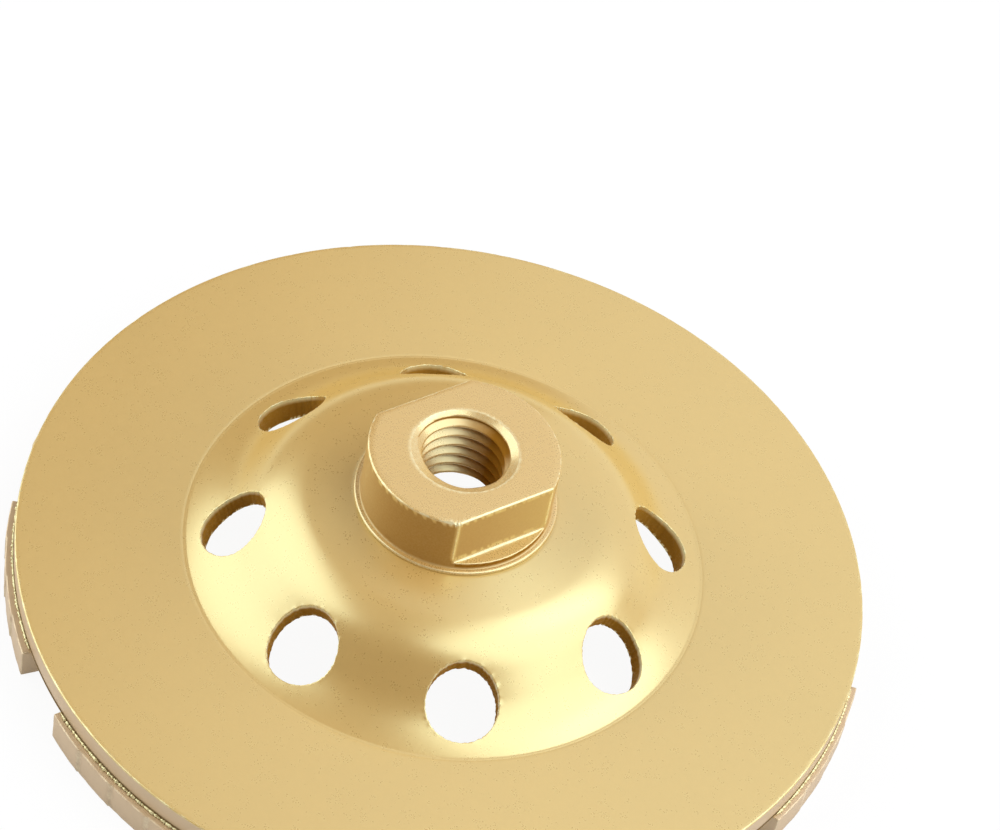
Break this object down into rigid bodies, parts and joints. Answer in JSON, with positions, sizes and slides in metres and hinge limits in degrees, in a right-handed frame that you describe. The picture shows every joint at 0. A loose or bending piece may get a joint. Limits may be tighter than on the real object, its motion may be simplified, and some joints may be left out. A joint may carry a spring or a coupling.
{
  "type": "diamond grinding disc",
  "caption": "Diamond grinding cup wheel: a domed steel body with vent holes, a threaded hub with wrench flats, and diamond segments under the rim.",
  "frame": {"origin": "on the disc's axis, in the plane of the segments' working faces", "axes": "+Z along the axis, from the working faces up through the threaded hub; +X through the first vent hole"},
  "size_m": [0.1272, 0.1274, 0.0306],
  "materials": {
    "body_gold": "satin gold paint with a fine metallic grain",
    "hub_gold": "satin gold paint, worn bright along the edges",
    "segment_gold": "thin gold paint over the sintered grit"
  },
  "bodies": {
    "root": {"cup_body": "body_gold", "threaded_hub": "hub_gold", "segment_01": "segment_gold", "segment_02": "segment_gold", "segment_03": "segment_gold", "segment_04": "segment_gold", "segment_05": "segment_gold", "segment_06": "segment_gold", "segment_07": "segment_gold", "segment_08": "segment_gold", "segment_09": "segment_gold", "segment_10": "segment_gold"}
  },
  "joints": []
}
